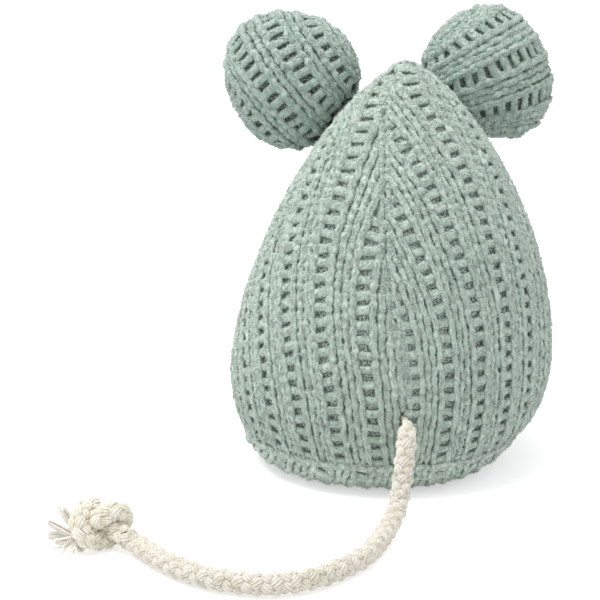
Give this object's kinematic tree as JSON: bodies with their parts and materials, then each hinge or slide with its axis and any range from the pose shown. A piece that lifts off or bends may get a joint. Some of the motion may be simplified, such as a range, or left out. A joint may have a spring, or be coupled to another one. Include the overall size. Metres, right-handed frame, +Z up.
{
  "type": "catnip mouse",
  "caption": "Stuffed cat toy shaped like a sitting mouse: egg-shaped body of ribbed chenille knit, round pinched ears, and a braided cotton tail that ends in a knot with a frayed tip.",
  "frame": {"origin": "centre of the flat middle of the base panel, which the mouse sits on", "axes": "+Z up from the base to the ears, +Y towards the mouse's face, -Y towards its back where the tail leaves, +X to its right side when seen from behind"},
  "size_m": [0.1255, 0.1309, 0.1064],
  "materials": {
    "knit": "grey-green chenille knit, soft pile",
    "woven": "dark plain weave",
    "thread": "polyester sewing thread",
    "fibre": "loose polyester fibre",
    "muslin": "thin cotton muslin",
    "herb": "dry leaf flakes",
    "rope": "natural cotton braid",
    "embroidery": "satin stitch thread"
  },
  "bodies": {
    "body": {"back_left_panel": "knit", "back_right_panel": "knit", "front_panel": "knit", "base_panel": "knit", "back_seam_thread": "thread", "left_seam_thread": "thread", "right_seam_thread": "thread", "base_seam_thread": "thread", "lining_bag": "woven", "fibre_filling": "fibre", "catnip_pouch": "muslin", "catnip_herb": "herb", "pouch_string": "thread", "left_ear_tie": "thread", "right_ear_tie": "thread", "tail_stop_knot": "rope", "left_eye": "embroidery", "right_eye": "embroidery", "nose": "embroidery"},
    "left_ear": {"left_ear_back_panel": "knit", "left_ear_front_panel": "knit", "left_ear_filling": "fibre", "left_ear_rim_thread": "thread"},
    "right_ear": {"right_ear_back_panel": "knit", "right_ear_front_panel": "knit", "right_ear_filling": "fibre", "right_ear_rim_thread": "thread"},
    "tail": {"tail_rope": "rope", "tail_end_knot": "rope", "tail_tassel": "rope"}
  },
  "joints": [
    {"name": "left_ear_fold", "type": "hinge", "parent": "body", "child": "left_ear", "pos_m": [-0.00728, 0.01294, 0.0804], "axis": [0.5587, 0, 0.8294], "range_deg": [-20, 10], "stiffness_Nm_per_rad": 0.01},
    {"name": "right_ear_fold", "type": "hinge", "parent": "body", "child": "right_ear", "pos_m": [0.01554, 0.01456, 0.0803], "axis": [0.6166, 0, -0.7873], "range_deg": [-20, 10], "stiffness_Nm_per_rad": 0.01},
    {"name": "tail_swing", "type": "hinge", "parent": "body", "child": "tail", "pos_m": [0.00198, -0.04157, 0.0207], "axis": [0, 0, 1], "range_deg": [-50, 70]}
  ]
}
